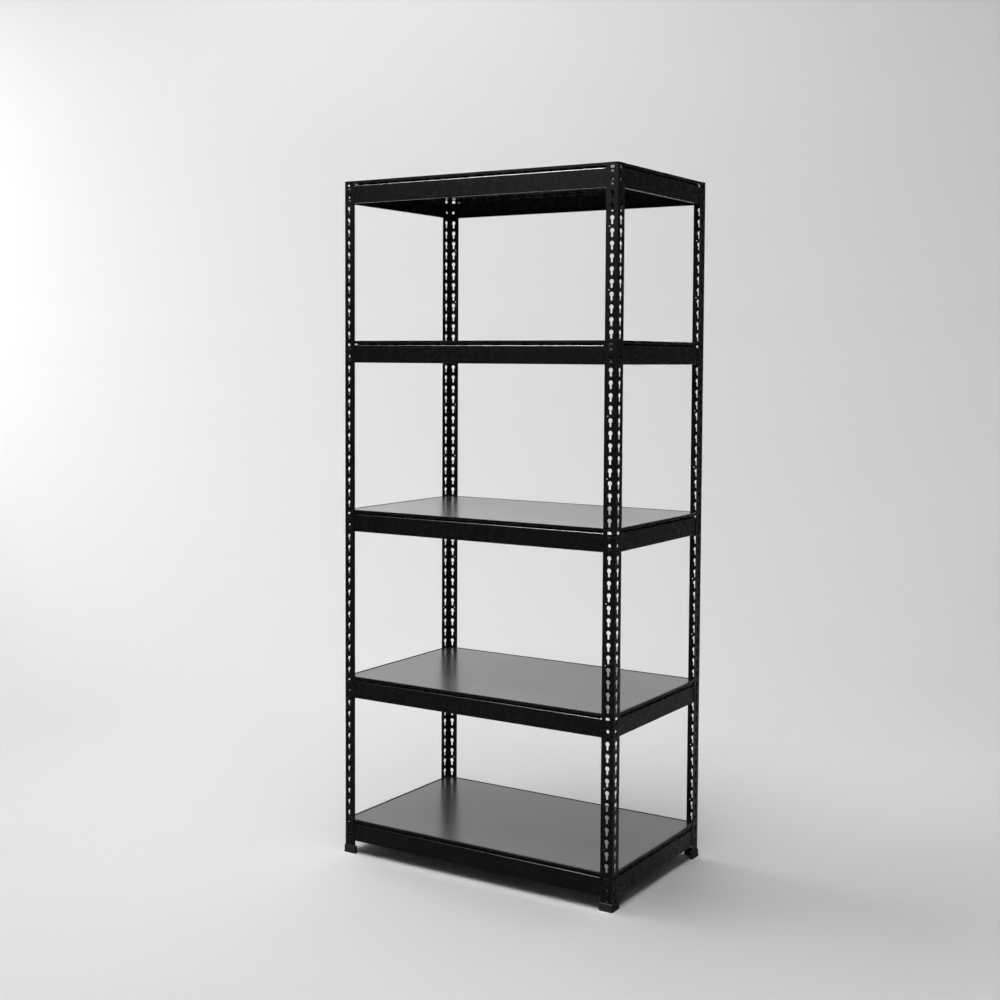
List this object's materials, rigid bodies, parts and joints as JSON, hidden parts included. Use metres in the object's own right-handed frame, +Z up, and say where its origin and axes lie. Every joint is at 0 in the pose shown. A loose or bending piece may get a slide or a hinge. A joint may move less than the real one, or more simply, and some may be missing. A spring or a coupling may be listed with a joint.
{
  "type": "boltless steel shelving",
  "caption": "Freestanding boltless shelving: perforated angle posts in plastic feet, riveted beams hooked into keyholes, and loose boards resting on folded ledges.",
  "frame": {"origin": "on the floor under the middle of the frame, at the undersides of the feet", "axes": "+Z up; X along the long beams, +X to the right seen from the front; Y along the short beams, -Y to the front"},
  "size_m": [0.825, 0.49, 1.802],
  "materials": {
    "post_steel": "satin black powder coat",
    "beam_steel": "satin black powder coat",
    "board": "smooth black satin laminate on thin fibreboard",
    "foot_plastic": "moulded black plastic"
  },
  "bodies": {
    "frame": {"post_front_left": "post_steel", "post_front_right": "post_steel", "post_back_right": "post_steel", "post_back_left": "post_steel", "foot_front_left": "foot_plastic", "foot_front_right": "foot_plastic", "foot_back_right": "foot_plastic", "foot_back_left": "foot_plastic", "level_1_beam_front": "beam_steel", "level_1_beam_right": "beam_steel", "level_1_beam_back": "beam_steel", "level_1_beam_left": "beam_steel", "level_2_beam_front": "beam_steel", "level_2_beam_right": "beam_steel", "level_2_beam_back": "beam_steel", "level_2_beam_left": "beam_steel", "level_3_beam_front": "beam_steel", "level_3_beam_right": "beam_steel", "level_3_beam_back": "beam_steel", "level_3_beam_left": "beam_steel", "level_4_beam_front": "beam_steel", "level_4_beam_right": "beam_steel", "level_4_beam_back": "beam_steel", "level_4_beam_left": "beam_steel", "level_5_beam_front": "beam_steel", "level_5_beam_right": "beam_steel", "level_5_beam_back": "beam_steel", "level_5_beam_left": "beam_steel"},
    "board_1": {"level_1_board": "board"},
    "board_2": {"level_2_board": "board"},
    "board_3": {"level_3_board": "board"},
    "board_4": {"level_4_board": "board"},
    "board_5": {"level_5_board": "board"}
  },
  "joints": [
    {"name": "board_1_lift", "type": "slide", "parent": "frame", "child": "board_1", "axis": [0, 0, 1], "range_m": [0, 0.33]},
    {"name": "board_2_lift", "type": "slide", "parent": "frame", "child": "board_2", "axis": [0, 0, 1], "range_m": [0, 0.39]},
    {"name": "board_3_lift", "type": "slide", "parent": "frame", "child": "board_3", "axis": [0, 0, 1], "range_m": [0, 0.39]},
    {"name": "board_4_lift", "type": "slide", "parent": "frame", "child": "board_4", "axis": [0, 0, 1], "range_m": [0, 0.36]},
    {"name": "board_5_lift", "type": "slide", "parent": "frame", "child": "board_5", "axis": [0, 0, 1], "range_m": [0, 0.3]}
  ]
}
